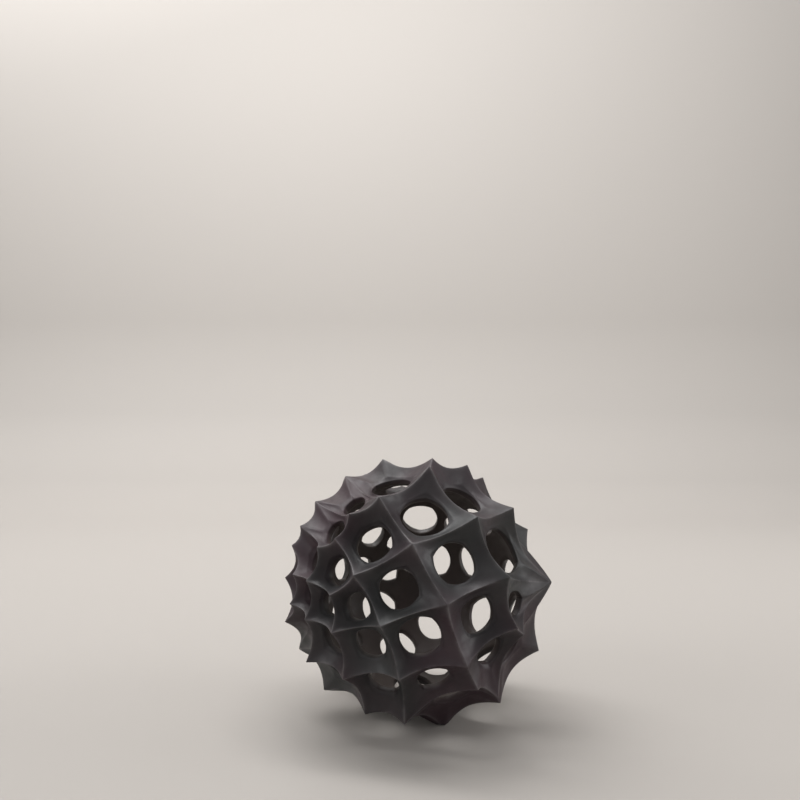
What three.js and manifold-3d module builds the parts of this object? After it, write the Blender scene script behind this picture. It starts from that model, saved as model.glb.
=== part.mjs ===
// Hollow openwork ball: round scoops set close together in a thick shell.
// Neighbouring scoops meet in sharp ridges, the ridges run up into spike tips,
// and every scoop is pierced at its bottom by a round hole into the hollow middle.
// Millimetres, +Z up, the ball rests on its trimmed lowest tips.
import * as THREE from "three";
import { ConvexHull } from "three/addons/math/ConvexHull.js";
import { mergeVertices } from "three/addons/utils/BufferGeometryUtils.js";
import Module from "manifold-3d";

const wasm = await Module();
wasm.setup();

// ---------------------------------------------------------------- sizes
const TIP_RADIUS = 60;          // ball centre to a full spike tip
const TIP_DROP = 2.0;           // tips of the smallest scoops stand this much lower
const HOLE_EDGE_RADIUS = 50.2;  // ball centre to the outer edge of a hole
const INNER_RADIUS = 47.5;      // ball centre to the inside face of the wall
const RIDGE_SAG = 0.205;        // dip of a ridge between two tips, per mm of ridge
const HOLE_SHARE = 0.76;        // hole radius as a share of the scoop's inner radius
const HOLE_SQUARENESS = 0.14;   // how far a hole follows the outline of its scoop
const HOLE_FLARE = 1.08;        // holes open out a little towards the inside
const HOLE_CENTRING = 0.61;      // holes sit this far from scoop centre to outline centre
const SCOOP_HOLLOW = 0.9;       // extra dip half way from ridge to hole
const FOOT_HEIGHT = 55.7;       // ball centre down to the trimmed foot plane
const FULL_SCOOP = 0.30;        // spread (rad) of a full-size scoop, tip to centre

// Where the scoops are set: [turn from the front to the right, height], in degrees,
// row by row, first over the near half and then over the far half.
const SCOOP_ROWS = {
  near_crown: [[-44, 64], [-53, 50], [-55, 35], [-93, 15]],
  near_upper: [[47, 53], [5, 48], [-25, 31], [-43, 16], [-60, 18]],
  near_middle: [[51, 27], [18, 25], [-11, 11], [-29, 2], [-46, 3], [-60, 4]],
  near_lower: [[53, 0], [30, -1], [-1, -9], [-23, -11], [-44, -14], [-61, -8]],
  near_bottom: [[52, -19], [40, -18], [8, -34], [-19, -33], [-50, -38]],
  near_under: [[18, -44], [-47, -59]],
  near_ends: [[-74, 5], [86, 44]],
  far_crown: [[-115, -51], [-123, -38], [-124, -23], [-93, -4]],
  far_upper: [[-172, -77], [-168, -48], [-156, -23], [-146, 1], [-117, -6]],
  far_middle: [[157, -60], [164, -34], [-175, 2], [-163, -1], [-153, 20], [-133, 1]],
  far_lower: [[107, -14], [131, -26], [168, 5], [-169, 15], [-154, 36], [-135, 32]],
  far_bottom: [[111, -3], [145, 6], [149, 28], [176, 32], [-177, 59]],
  far_under: [[135, 34], [154, 69]],
  far_ends: [[-111, 22], [99, -48]],
};

const RAD = Math.PI / 180;

// ---------------------------------------------------------------- pattern
function heading([turn, height]) {
  const flat = Math.cos(height * RAD);
  return new THREE.Vector3(
    Math.sin(turn * RAD) * flat, -Math.cos(turn * RAD) * flat, Math.sin(height * RAD));
}

function scoopCentres() {
  return Object.values(SCOOP_ROWS).flat().map(heading);
}

// Points as far from three scoop centres at once: there the spikes stand.
function spikeTips(centres) {
  const hull = new ConvexHull().setFromPoints(centres);
  const corners = [];
  for (const face of hull.faces) {
    const owners = [];
    let edge = face.edge;
    do {
      owners.push(centres.indexOf(edge.head().point));
      edge = edge.next;
    } while (edge !== face.edge);
    const dir = face.normal.clone().normalize();
    corners.push({ dir, owners, spread: dir.angleTo(centres[owners[0]]) });
  }
  // close neighbours melt into one four-sided spike
  const group = corners.map((c, i) => i);
  const root = (i) => (group[i] === i ? i : (group[i] = root(group[i])));
  for (let i = 0; i < corners.length; i++) {
    for (let j = i + 1; j < corners.length; j++) {
      const shared = corners[i].owners.filter((o) => corners[j].owners.includes(o));
      const near = 0.5 * Math.min(corners[i].spread, corners[j].spread);
      if (shared.length >= 2 && corners[i].dir.angleTo(corners[j].dir) < near) {
        group[root(i)] = root(j);
      }
    }
  }
  const tips = new Map();
  corners.forEach((c, i) => {
    const key = root(i);
    if (!tips.has(key)) {
      tips.set(key, { dir: new THREE.Vector3(), owners: new Set(), spread: 0, count: 0 });
    }
    const tip = tips.get(key);
    tip.dir.add(c.dir);
    tip.spread += c.spread;
    tip.count += 1;
    c.owners.forEach((o) => tip.owners.add(o));
  });
  return [...tips.values()].map((tip) => {
    const spread = tip.spread / tip.count;
    const small = Math.max(0, 1 - spread / FULL_SCOOP);
    return {
      dir: tip.dir.normalize(),
      owners: tip.owners,
      radius: TIP_RADIUS - TIP_DROP * Math.min(1, 1.6 * small),
    };
  });
}

// ---------------------------------------------------------------- shapes
function between(a, b, t) {
  const angle = a.angleTo(b);
  const s = Math.sin(angle);
  return a.clone().multiplyScalar(Math.sin((1 - t) * angle) / s)
    .addScaledVector(b, Math.sin(t * angle) / s).normalize();
}

// One ridge: sharp at both tips, dipping between them like a hanging cord.
const ridges = new Map();
function ridge(tips, i, j) {
  const low = Math.min(i, j);
  const high = Math.max(i, j);
  const key = low + "_" + high;
  if (!ridges.has(key)) {
    const a = tips[low];
    const b = tips[high];
    const length = TIP_RADIUS * a.dir.angleTo(b.dir);
    const steps = length > 24 ? 5 : length > 16 ? 4 : length > 9 ? 3 : 2;
    const points = [];
    for (let n = 0; n <= steps; n++) {
      const t = n / steps;
      const dir = n === 0 ? a.dir : n === steps ? b.dir : between(a.dir, b.dir, t);
      const radius = a.radius + (b.radius - a.radius) * t - RIDGE_SAG * length * 4 * t * (1 - t);
      points.push({ dir, radius });
    }
    ridges.set(key, points);
  }
  const points = ridges.get(key);
  return i < j ? points : [...points].reverse();
}

// The closed outline of a scoop, tip to tip along its ridges, turning left.
function scoopOutline(centre, index, tips) {
  const mine = [];
  tips.forEach((tip, n) => {
    if (tip.owners.has(index)) mine.push(n);
  });
  const u = new THREE.Vector3(0.3, 0.5, 0.81).cross(centre).normalize();
  const v = centre.clone().cross(u);
  const around = (n) => Math.atan2(tips[n].dir.dot(v), tips[n].dir.dot(u));
  mine.sort((p, q) => around(p) - around(q));
  const outline = [];
  mine.forEach((n, k) => {
    const next = mine[(k + 1) % mine.length];
    outline.push(...ridge(tips, n, next).slice(0, -1));
  });
  return outline;
}

// Middle of a scoop's outline, where its hole is mostly centred.
function holeCentre(centre, index, tips) {
  const middle = new THREE.Vector3();
  tips.forEach((tip) => {
    if (tip.owners.has(index)) middle.add(tip.dir);
  });
  return centre.clone().lerp(middle.normalize(), HOLE_CENTRING).normalize();
}

function addScoop(soup, centre, index, tips) {
  const outline = scoopOutline(centre, index, tips);
  const hole = holeCentre(centre, index, tips);
  const reach = outline.map((p) => p.dir.angleTo(hole));
  const inner = Math.min(...reach);
  const depth = Math.min(1, inner / 0.2);
  const holeRadius = HOLE_EDGE_RADIUS + 1.6 * (1 - depth);
  const loops = [[], [], [], [], []];
  outline.forEach((p, k) => {
    const toHole = HOLE_SHARE * inner * (1 + HOLE_SQUARENESS * (reach[k] / inner - 1));
    const toward = (angle) => between(hole, p.dir, angle / reach[k]);
    const midRadius = 0.48 * p.radius + 0.52 * holeRadius - SCOOP_HOLLOW * depth;
    loops[0].push(p.dir.clone().multiplyScalar(p.radius));
    loops[1].push(toward(0.48 * reach[k] + 0.52 * toHole).multiplyScalar(midRadius));
    loops[2].push(toward(toHole).multiplyScalar(holeRadius));
    loops[3].push(toward(toHole * HOLE_FLARE).multiplyScalar(INNER_RADIUS));
    loops[4].push(p.dir.clone().multiplyScalar(INNER_RADIUS));
  });
  for (let band = 0; band < 4; band++) {
    const from = loops[band];
    const to = loops[band + 1];
    for (let k = 0; k < from.length; k++) {
      const m = (k + 1) % from.length;
      if (from[k].distanceTo(to[m]) < from[m].distanceTo(to[k])) {
        soup.push(from[k], from[m], to[m], from[k], to[m], to[k]);
      } else {
        soup.push(from[k], from[m], to[k], from[m], to[m], to[k]);
      }
    }
  }
}

function openworkShell() {
  const centres = scoopCentres();
  const tips = spikeTips(centres);
  const soup = [];
  centres.forEach((centre, index) => addScoop(soup, centre, index, tips));
  return new THREE.BufferGeometry().setFromPoints(soup);
}

// ---------------------------------------------------------------- solids
function toSolid(geometry) {
  const bare = geometry.clone();
  bare.deleteAttribute("normal");
  bare.deleteAttribute("uv");
  const merged = mergeVertices(bare, 1e-4);
  return new wasm.Manifold(new wasm.Mesh({
    numProp: 3,
    vertProperties: new Float32Array(merged.attributes.position.array),
    triVerts: new Uint32Array(merged.index.array),
  }));
}

function toGeometry(solid) {
  const mesh = solid.getMesh();
  const geometry = new THREE.BufferGeometry();
  const count = mesh.vertProperties.length / mesh.numProp;
  const positions = new Float32Array(count * 3);
  for (let i = 0; i < count; i++) {
    for (let c = 0; c < 3; c++) {
      positions[3 * i + c] = mesh.vertProperties[mesh.numProp * i + c];
    }
  }
  geometry.setAttribute("position", new THREE.BufferAttribute(positions, 3));
  geometry.setIndex(new THREE.BufferAttribute(new Uint32Array(mesh.triVerts), 1));
  geometry.computeVertexNormals();
  return geometry;
}

const shell = toSolid(openworkShell());
const below = new THREE.BoxGeometry(140, 140, 20).translate(0, 0, -FOOT_HEIGHT - 10);
const ball = toGeometry(shell.subtract(toSolid(below)));
ball.computeBoundingBox();
const box = ball.boundingBox;
ball.translate(-(box.min.x + box.max.x) / 2, -(box.min.y + box.max.y) / 2, -box.min.z);

const resin = new THREE.MeshStandardMaterial({ color: 0x2b2b2d, roughness: 0.5, metalness: 0 });
resin.name = "charcoal_resin";
const mesh = new THREE.Mesh(ball, resin);
mesh.name = "openwork_ball";

const group = new THREE.Group();
group.name = "decorative_sphere";
group.add(mesh);

export default group;
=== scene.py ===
import bpy
import bmesh
import math
import numpy as np
from collections import namedtuple
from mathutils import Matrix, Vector


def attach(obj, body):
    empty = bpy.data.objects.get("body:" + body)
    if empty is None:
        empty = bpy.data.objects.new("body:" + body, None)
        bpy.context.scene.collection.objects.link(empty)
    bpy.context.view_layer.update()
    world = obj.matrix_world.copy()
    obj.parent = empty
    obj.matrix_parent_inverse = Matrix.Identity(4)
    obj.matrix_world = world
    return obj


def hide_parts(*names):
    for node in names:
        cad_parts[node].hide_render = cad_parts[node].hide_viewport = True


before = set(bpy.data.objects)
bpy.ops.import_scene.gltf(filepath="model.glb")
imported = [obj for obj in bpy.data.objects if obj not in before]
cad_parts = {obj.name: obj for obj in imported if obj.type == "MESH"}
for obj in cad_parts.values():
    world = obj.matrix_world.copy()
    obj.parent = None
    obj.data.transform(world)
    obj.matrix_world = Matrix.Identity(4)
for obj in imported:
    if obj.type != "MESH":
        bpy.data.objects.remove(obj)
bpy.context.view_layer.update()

# A hollow openwork ball of cast resin. Round scoops are set close together in a
# thick shell. Neighbouring scoops meet in sharp ridges, the ridges run up into spike
# tips, and each scoop is pierced at its bottom by one flared hole.

# ------------------------------------------------------------------ the ball, in mm
TIP_RADIUS = 60.0         # ball centre to a full spike tip
TIP_DROP = 2.0            # tips of the smallest scoops stand this much lower
TIP_DROP_RATE = 1.6       # how soon tips drop as their scoops get smaller
TIP_MELT = 0.5            # tips nearer than this share of their spread melt into one
HOLE_EDGE_RADIUS = 50.2   # ball centre to the outer edge of a hole
HOLE_EDGE_RISE = 1.6      # holes of the smallest scoops lie up to this much further out
INNER_RADIUS = 47.5       # ball centre to the inside face of the wall
RIDGE_SAG = 0.205         # dip of a ridge between two tips, per mm of ridge
HOLE_SHARE = 0.76         # hole radius as a share of the scoop's inner radius
HOLE_SQUARENESS = 0.14    # how far a hole follows the outline of its scoop
HOLE_FLARE = 1.08         # holes open out a little towards the inside
HOLE_CENTRING = 0.61      # holes sit this far from scoop centre to outline centre
SCOOP_HOLLOW = 0.9        # extra dip half way from ridge to hole
FOOT_HEIGHT = 55.7        # ball centre down to the trimmed foot plane
FULL_SCOOP = 0.30         # spread (rad) of a full-size scoop, tip to centre
FULL_DEPTH = 0.2          # scoops with a smaller inner radius (rad) are shallower
EDGE_ROUND = 0.45         # softening of the ridge tops
RIM_ROUND = 0.8           # softening of the hole rims
RIM_SHARE = 0.09          # but at most this share of the way from hole to ridge

# Where the scoops are set: [turn from the front to the right, height], in degrees,
# row by row, first over the near half and then over the far half.
SCOOP_ROWS = {
    "near_crown": [[-44, 64], [-53, 50], [-55, 35], [-93, 15]],
    "near_upper": [[47, 53], [5, 48], [-25, 31], [-43, 16], [-60, 18]],
    "near_middle": [[51, 27], [18, 25], [-11, 11], [-29, 2], [-46, 3], [-60, 4]],
    "near_lower": [[53, 0], [30, -1], [-1, -9], [-23, -11], [-44, -14], [-61, -8]],
    "near_bottom": [[52, -19], [40, -18], [8, -34], [-19, -33], [-50, -38]],
    "near_under": [[18, -44], [-47, -59]],
    "near_ends": [[-74, 5], [86, 44]],
    "far_crown": [[-115, -51], [-123, -38], [-124, -23], [-93, -4]],
    "far_upper": [[-172, -77], [-168, -48], [-156, -23], [-146, 1], [-117, -6]],
    "far_middle": [[157, -60], [164, -34], [-175, 2], [-163, -1], [-153, 20], [-133, 1]],
    "far_lower": [[107, -14], [131, -26], [168, 5], [-169, 15], [-154, 36], [-135, 32]],
    "far_bottom": [[111, -3], [145, 6], [149, 28], [176, 32], [-177, 59]],
    "far_under": [[135, 34], [154, 69]],
    "far_ends": [[-111, 22], [99, -48]],
}

# ------------------------------------------------------------------ rows of the mesh
RIDGE_STEP = 2.0          # points along a ridge are about this far apart, in mm
LEAST_RIDGE_STEPS = 4
RIDGE_HIGHLIGHT_WIDTH = 0.4           # the painted ridge highlight fades over this distance from a ridge, in mm
# down a scoop, as shares of the way from ridge to hole, close together by the ridge
BOWL_ROWS = (0.02, 0.05, 0.1, 0.18, 0.3, 0.45, 0.6, 0.75, 0.87)
# through the wall: share of its thickness, share of the rim's softening, painted edge highlight
WALL_ROWS = (
    (0.0, 1.0, 0.2), (0.06, 0.45, 0.2), (0.15, 0.14, 0.0), (0.3, 0.0, 0.0),
    (0.65, 0.0, 0.0), (0.82, 0.14, 0.0), (0.93, 0.5, 0.0), (1.0, 1.0, 0.0),
)
# over the inside face, as shares of the way from the hole to under the ridge
INSIDE_ROWS = (0.35, 0.7)

# ------------------------------------------------------------------ the finish, in mm
COAT_PATCH = 30           # the coat pools and thins in patches
HUE_PATCH = 50            # its hue drifts from grey to plum
HOLLOW_WAVE = 9           # the hand-smoothed hollows stay a little wavy
HOLLOW_WAVE_HEIGHT = 0.7
COAT_STREAK = 4           # streaks in the sheen
COAT_GRAIN = 0.9          # grain of the sprayed coat
COAT_GRAIN_HEIGHT = 0.1
COAT_GREY = ("#262627", "#343434")    # where the coat is thick, where it is thin
COAT_PLUM = ("#2b1f24", "#3c2c32")
# painted light for the hollow inside: paler and browner than the coat
PAINTED_INTERIOR_LIGHT = "#544a45"
# painted highlight along the ridge tops and hole rims
PAINTED_EDGE_HIGHLIGHT = "#858182"

# ------------------------------------------------------------------ the studio, in m
SWEEP_PROFILE = [(-0.9, 0.0), (0.55, 0.0), (0.72, 0.03), (0.82, 0.12), (0.86, 0.26), (0.87, 1.6)]
SWEEP_HALF_WIDTH = 2.2
PAPER = "#b0aba6"
LIGHTS = {                # place, aim, width and height, watts
    "top_light": ((-0.25, 0.25, 0.9), (0, 0, 0.05), (0.7, 0.5), 2.7),
    "left_light": ((-0.8, -0.3, 0.5), (0, 0, 0.06), (0.5, 0.5), 1.8),
    "right_light": ((0.9, 0.0, 0.35), (0, 0, 0.06), (0.4, 0.5), 2.7),
    "wall_wash": ((-0.3, 0.3, 1.2), (-0.1, 0.9, 0.35), (1.8, 0.3), 17),
}
ROOM_LIGHT = "#f4f4f4"
ROOM_STRENGTH = 0.42
CAMERA_FROM_CENTRE = (-0.0074, -0.3601, 0.0846)
LENS = 36                 # mm, as long as the sensor is wide
SENSOR_WIDTH = 36         # mm

Corner = namedtuple("Corner", "direction owners spread")
Spike = namedtuple("Spike", "direction owners radius")
RidgePoint = namedtuple("RidgePoint", "direction radius top under")


def unit(v):
    return v / np.linalg.norm(v)


def angle(a, b):
    return math.atan2(np.linalg.norm(np.cross(a, b)), float(np.dot(a, b)))


def between(a, b, t):
    """The direction that lies the share t of the way round from a to b."""
    whole = angle(a, b)
    return unit(math.sin((1 - t) * whole) * a + math.sin(t * whole) * b)


# ------------------------------------------------------------------ the pattern
def heading(turn, height):
    turn = math.radians(turn)
    height = math.radians(height)
    flat = math.cos(height)
    return np.array([math.sin(turn) * flat, -math.cos(turn) * flat, math.sin(height)])


def scoop_centres():
    return np.array([heading(*place) for row in SCOOP_ROWS.values() for place in row])


def scoop_corners(centres):
    """Points as far from three scoop centres at once: there the scoops meet."""
    hull = bmesh.new()
    verts = [hull.verts.new(c) for c in centres]
    index = {v: i for i, v in enumerate(verts)}
    made = bmesh.ops.convex_hull(hull, input=verts)["geom"]
    corners = []
    for face in [part for part in made if isinstance(part, bmesh.types.BMFace)]:
        owners = [index[v] for v in face.verts]
        a, b, c = (centres[i] for i in owners[:3])
        out = unit(np.cross(b - a, c - a))
        out = out if np.dot(out, a) > 0 else -out
        corners.append(Corner(out, set(owners), angle(out, a)))
    hull.free()
    return corners


def spikes_on(corners):
    """One spike on each corner, and one many-sided spike where close corners melt."""
    group = list(range(len(corners)))

    def root(i):
        while group[i] != i:
            i = group[i]
        return i

    for i, one in enumerate(corners):
        for j in range(i + 1, len(corners)):
            other = corners[j]
            near = TIP_MELT * min(one.spread, other.spread)
            shared = len(one.owners & other.owners)
            if shared >= 2 and angle(one.direction, other.direction) < near:
                group[root(i)] = root(j)
    melted = {}
    for i, corner in enumerate(corners):
        melted.setdefault(root(i), []).append(corner)
    spikes = []
    for members in melted.values():
        directions, owners, spreads = zip(*members)
        small = max(0.0, 1 - sum(spreads) / len(spreads) / FULL_SCOOP)
        radius = TIP_RADIUS - TIP_DROP * min(1, TIP_DROP_RATE * small)
        spikes.append(Spike(unit(sum(directions)), set().union(*owners), radius))
    return spikes


# ------------------------------------------------------------------ the surface
class Skin:
    """The surface as it grows. Each point knows how much painted edge highlight it gets and how far
    inside it is.
    """

    def __init__(self):
        self.points = []
        self.faces = []
        self.edge_highlight = []
        self.inside = []
        self.ridges = {}

    def add(self, point, edge_highlight=0.0, inside=0.0):
        self.points.append(point)
        self.edge_highlight.append(edge_highlight)
        self.inside.append(inside)
        return len(self.points) - 1

    def ridge_point(self, direction, radius):
        """A point on top of a ridge, and the one under it on the inside face."""
        top = self.add(direction * radius, edge_highlight=1.0)
        under = self.add(direction * INNER_RADIUS, inside=1.0)
        return RidgePoint(direction, radius, top, under)


def ridge(skin, tips, i, j):
    """One ridge, dipping like a hanging cord from tip i to tip j. Both its scoops share it."""
    low = min(i, j)
    high = max(i, j)
    if (low, high) not in skin.ridges:
        start = tips[low]
        end = tips[high]
        length = TIP_RADIUS * angle(start.direction, end.direction)
        steps = max(LEAST_RIDGE_STEPS, round(length / RIDGE_STEP))
        row = [start]
        for n in range(1, steps):
            t = n / steps
            sag = RIDGE_SAG * length * 4 * t * (1 - t)
            radius = start.radius + (end.radius - start.radius) * t - sag
            direction = between(start.direction, end.direction, t)
            row.append(skin.ridge_point(direction, radius))
        skin.ridges[low, high] = row + [end]
    row = skin.ridges[low, high]
    return row if i < j else row[::-1]


def scoop_outline(skin, tips, mine, centre):
    """The closed outline of a scoop, tip to tip along its ridges, turning left."""
    across = unit(np.cross([0.3, 0.5, 0.81], centre))    # any way square to the centre
    up = np.cross(centre, across)

    def around(n):
        return math.atan2(tips[n].direction @ up, tips[n].direction @ across)

    mine = sorted(mine, key=around)
    outline = []
    for n, following in zip(mine, mine[1:] + mine[:1]):
        outline += ridge(skin, tips, n, following)[:-1]
    return outline


def add_scoop(skin, tips, mine, centre):
    """One scoop with its hole: rows of faces from its ridges to under its ridges."""
    outline = scoop_outline(skin, tips, mine, centre)
    middle = unit(sum(tips[n].direction for n in mine))
    hole = unit(centre * (1 - HOLE_CENTRING) + middle * HOLE_CENTRING)
    reach = np.array([angle(p.direction, hole) for p in outline])
    inner = reach.min()
    depth = min(1.0, inner / FULL_DEPTH)
    edge = HOLE_SHARE * inner * (1 + HOLE_SQUARENESS * (reach / inner - 1))
    edge_radius = HOLE_EDGE_RADIUS + HOLE_EDGE_RISE * (1 - depth)
    ridge_radius = np.array([p.radius for p in outline])
    width = TIP_RADIUS * (reach - edge)

    def row(angles, radii, edge_highlight=0.0, inside=0.0):
        """A closed row of points at these angles from the middle of the hole."""
        radii = np.broadcast_to(radii, len(outline))
        return [skin.add(between(hole, p.direction, a / far) * radius, edge_highlight, inside)
                for p, far, a, radius in zip(outline, reach, angles, radii)]

    rows = [[p.top for p in outline]]
    # down the bowl of the scoop, from a soft ridge top
    for s in BOWL_ROWS:
        run = width * s
        soft = np.sqrt(run * run + EDGE_ROUND ** 2) - EDGE_ROUND
        hollow = SCOOP_HOLLOW * depth * 4 * s * (1 - s)
        radii = ridge_radius - (ridge_radius - edge_radius) * soft / width - hollow
        # painted ridge highlight, fading down the bowl
        edge_highlight = math.exp(-run.mean() / RIDGE_HIGHLIGHT_WIDTH)
        rows.append(row(reach + (edge - reach) * s, radii, edge_highlight))
    # over the soft rim and through the flared wall
    wall = edge_radius - INNER_RADIUS
    lip = np.minimum(RIM_ROUND, RIM_SHARE * width) / TIP_RADIUS
    for t, back, edge_highlight in WALL_ROWS:
        angles = edge * (1 + (HOLE_FLARE - 1) * t) + back * lip
        rows.append(row(angles, edge_radius - wall * t, edge_highlight, inside=t))
    # out along the inside face
    flared = edge * HOLE_FLARE
    for s in INSIDE_ROWS:
        rows.append(row(flared + (reach - flared) * s, INNER_RADIUS, inside=1.0))
    rows.append([p.under for p in outline])
    for upper, lower in zip(rows, rows[1:]):
        for k in range(len(outline)):
            m = (k + 1) % len(outline)
            skin.faces.append((upper[k], upper[m], lower[m], lower[k]))


def openwork_ball():
    """The ball as one mesh, in metres, and where its centre is in the frame."""
    centres = scoop_centres()
    spikes = spikes_on(scoop_corners(centres))
    skin = Skin()
    tips = [skin.ridge_point(spike.direction, spike.radius) for spike in spikes]
    for index, centre in enumerate(centres):
        mine = [n for n, spike in enumerate(spikes) if index in spike.owners]
        add_scoop(skin, tips, mine, centre)
    points = np.array(skin.points)
    # the foot: the lowest tips are trimmed to one level
    points[:, 2] = np.maximum(points[:, 2], -FOOT_HEIGHT)
    # the frame's origin is below the middle of the ball's box, on the floor
    low = points.min(0)
    high = points.max(0)
    ball_centre = np.array([-(low[0] + high[0]) / 2, -(low[1] + high[1]) / 2, -low[2]])
    mesh = bpy.data.meshes.new("openwork_ball_fine")
    mesh.from_pydata(((points + ball_centre) / 1000).tolist(), [], skin.faces)
    for name, values in (("ridge", skin.edge_highlight), ("inside", skin.inside)):
        mesh.attributes.new(name, "FLOAT", "POINT").data.foreach_set("value", values)
    mesh.polygons.foreach_set("use_smooth", [True] * len(mesh.polygons))
    ball = bpy.data.objects.new("openwork_ball_fine", mesh)
    bpy.context.scene.collection.objects.link(ball)
    return ball, Vector((ball_centre / 1000).tolist())


# ------------------------------------------------------------------ materials
def linear(code):
    """An sRGB hex value as linear red, green and blue, and full alpha."""
    values = [int(code[i:i + 2], 16) / 255 for i in (1, 3, 5)]
    return [v / 12.92 if v <= 0.04045 else ((v + 0.055) / 1.055) ** 2.4 for v in values] + [1.0]


def node(tree, kind, inputs, **settings):
    """Adds one node. An input that is given as a socket is linked, any other is set."""
    made = tree.nodes.new(kind)
    for key, value in settings.items():
        setattr(made, key, value)
    for key, value in inputs.items():
        if isinstance(value, bpy.types.NodeSocket):
            tree.links.new(value, made.inputs[key])
        else:
            made.inputs[key].default_value = value
    return made


def new_material(name):
    material = bpy.data.materials.new(name)
    material.use_nodes = True
    material.node_tree.nodes.clear()
    return material


def pattern(size):
    """Noise scale on Object coordinates, in metres, for features this many mm across."""
    return 1000.0 / size


def coated_polyresin():
    """Cast polyresin with a matt charcoal coat: satin, near black, with a pale painted highlight on
    the ridges and hole rims and painted light on the hollow inside.
    """
    material = new_material("coated_polyresin")
    tree = material.node_tree
    place = node(tree, "ShaderNodeTexCoord", {}).outputs["Object"]
    patches = node(tree, "ShaderNodeTexNoise", {
        "Vector": place, "Scale": pattern(COAT_PATCH), "Detail": 4.0, "Roughness": 0.6}).outputs[0]
    hue = node(tree, "ShaderNodeTexNoise", {
        "Vector": place, "Scale": pattern(HUE_PATCH), "Detail": 2.0}).outputs[0]
    wave = node(tree, "ShaderNodeTexNoise", {
        "Vector": place, "Scale": pattern(HOLLOW_WAVE), "Detail": 3.0, "Roughness": 0.55}).outputs[0]
    # streaks are about three times as long as wide, and run slantwise
    drawn = node(tree, "ShaderNodeMapping", {
        "Vector": place, "Scale": (1.0, 0.35, 1.0), "Rotation": (0.5, 0.3, 0.7)}).outputs[0]
    streaks = node(tree, "ShaderNodeTexNoise", {
        "Vector": drawn, "Scale": pattern(COAT_STREAK), "Detail": 3.0}).outputs[0]
    # the real grain is a few tenths of a mm: it is drawn as coarse as it needs to show
    grain = node(tree, "ShaderNodeTexNoise", {
        "Vector": place, "Scale": pattern(COAT_GRAIN), "Detail": 3.0, "Roughness": 0.6}).outputs[0]

    # thick and thin coat, and its drift from grey to plum
    thin = node(tree, "ShaderNodeMapRange", {
        "Value": patches, "From Min": 0.3, "From Max": 0.7}).outputs[0]
    warm = node(tree, "ShaderNodeMapRange", {
        "Value": hue, "From Min": 0.42, "From Max": 0.6}).outputs[0]
    grey, plum = (
        node(tree, "ShaderNodeMix", {0: thin, 6: linear(thick_coat), 7: linear(thin_coat)},
             data_type="RGBA").outputs[2]
        for thick_coat, thin_coat in (COAT_GREY, COAT_PLUM))
    coat = node(tree, "ShaderNodeMix", {0: warm, 6: grey, 7: plum}, data_type="RGBA").outputs[2]
    # painted light: the hollow inside is painted paler and browner, standing in for the light that
    # reaches it through the holes
    within = node(tree, "ShaderNodeAttribute", {}, attribute_name="inside").outputs["Fac"]
    interior_light = node(tree, "ShaderNodeMath", {0: within, 1: 0.75}, operation="MULTIPLY").outputs[0]
    coat = node(tree, "ShaderNodeMix", {0: interior_light, 6: coat, 7: linear(PAINTED_INTERIOR_LIGHT)},
                data_type="RGBA").outputs[2]
    # a painted highlight: a thin broken pale line along the sharp ridges and, fainter, the hole rims
    line = node(tree, "ShaderNodeAttribute", {}, attribute_name="ridge").outputs["Fac"]
    broken = node(tree, "ShaderNodeMapRange", {
        "Value": wave, "From Min": 0.34, "From Max": 0.6, "To Min": 0.05, "To Max": 0.5}).outputs[0]
    edge_highlight_mask = node(tree, "ShaderNodeMath", {0: line, 1: broken}, operation="MULTIPLY").outputs[0]
    colour = node(tree, "ShaderNodeMix", {0: edge_highlight_mask, 6: coat, 7: linear(PAINTED_EDGE_HIGHLIGHT)},
                  data_type="RGBA").outputs[2]

    # satin where the coat is thick, duller where it is thin, and streaky
    both = node(tree, "ShaderNodeMix", {0: 0.5, 2: patches, 3: streaks}).outputs[0]
    dullness = node(tree, "ShaderNodeMapRange", {
        "Value": both, "From Min": 0.36, "From Max": 0.64, "To Min": 0.37, "To Max": 0.62}).outputs[0]
    waves = node(tree, "ShaderNodeBump", {
        "Height": wave, "Strength": 0.35, "Distance": HOLLOW_WAVE_HEIGHT / 1000}).outputs[0]
    relief = node(tree, "ShaderNodeBump", {
        "Height": grain, "Normal": waves, "Strength": 0.25,
        "Distance": COAT_GRAIN_HEIGHT / 1000}).outputs[0]
    resin = node(tree, "ShaderNodeBsdfPrincipled", {
        "Base Color": colour, "Metallic": 0.0, "IOR": 1.5, "Specular IOR Level": 0.4,
        "Roughness": dullness, "Normal": relief}).outputs[0]
    node(tree, "ShaderNodeOutputMaterial", {"Surface": resin})
    return material


def backdrop_paper():
    """Seamless backdrop paper: matt, pale and even, so nothing draws the eye."""
    material = new_material("backdrop_paper")
    tree = material.node_tree
    paper = node(tree, "ShaderNodeBsdfPrincipled", {
        "Base Color": linear(PAPER), "Roughness": 0.6, "Specular IOR Level": 0.2}).outputs[0]
    node(tree, "ShaderNodeOutputMaterial", {"Surface": paper})
    return material


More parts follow.
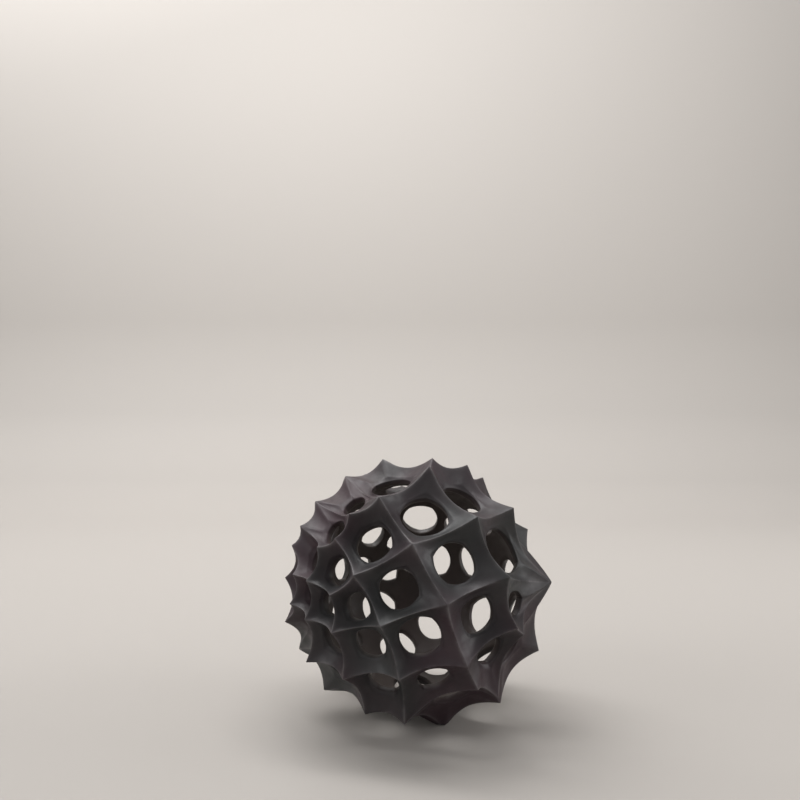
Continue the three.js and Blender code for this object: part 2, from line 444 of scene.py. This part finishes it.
# ------------------------------------------------------------------ the studio
def paper_sweep():
    """A level floor that curves up into a wall behind the ball."""
    sheet = bmesh.new()
    left, right = (
        [sheet.verts.new((x, y, z)) for y, z in SWEEP_PROFILE]
        for x in (-SWEEP_HALF_WIDTH, SWEEP_HALF_WIDTH))
    for k in range(len(SWEEP_PROFILE) - 1):
        sheet.faces.new((left[k], right[k], right[k + 1], left[k + 1]))
    mesh = bpy.data.meshes.new("floor")
    sheet.to_mesh(mesh)
    sheet.free()
    mesh.polygons.foreach_set("use_smooth", [True] * len(mesh.polygons))
    floor = bpy.data.objects.new("floor", mesh)
    bpy.context.scene.collection.objects.link(floor)
    floor.data.materials.append(backdrop_paper())
    return floor


def soft_light(name, place, aim, size, watts):
    light = bpy.data.lights.new(name, "AREA")
    light.shape = "RECTANGLE"
    light.size = size[0]
    light.size_y = size[1]
    light.energy = watts
    lamp = bpy.data.objects.new(name, light)
    lamp.location = place
    lamp.rotation_euler = (Vector(aim) - Vector(place)).to_track_quat("-Z", "Y").to_euler()
    bpy.context.scene.collection.objects.link(lamp)


def room_light():
    """The even light of a pale room, from all sides."""
    world = bpy.data.worlds.new("studio")
    world.use_nodes = True
    background = world.node_tree.nodes["Background"]
    background.inputs["Color"].default_value = linear(ROOM_LIGHT)
    background.inputs["Strength"].default_value = ROOM_STRENGTH
    bpy.context.scene.world = world


def level_camera(place):
    """A camera that looks level along +Y."""
    camera = bpy.data.objects.new("camera", bpy.data.cameras.new("camera"))
    camera.data.lens = LENS
    camera.data.sensor_width = SENSOR_WIDTH
    camera.location = place
    camera.rotation_euler = (math.radians(90), 0, 0)
    bpy.context.scene.collection.objects.link(camera)
    return camera


# ------------------------------------------------------------------ the scene
ball, ball_centre = openwork_ball()
ball.data.materials.append(coated_polyresin())
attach(ball, "root")
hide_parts("openwork_ball")

paper_sweep()
for light_name, (place, aim, size, watts) in LIGHTS.items():
    soft_light(light_name, place, aim, size, watts)
room_light()
bpy.context.scene.camera = level_camera(ball_centre + Vector(CAMERA_FROM_CENTRE))
bpy.context.scene.view_settings.view_transform = "Standard"
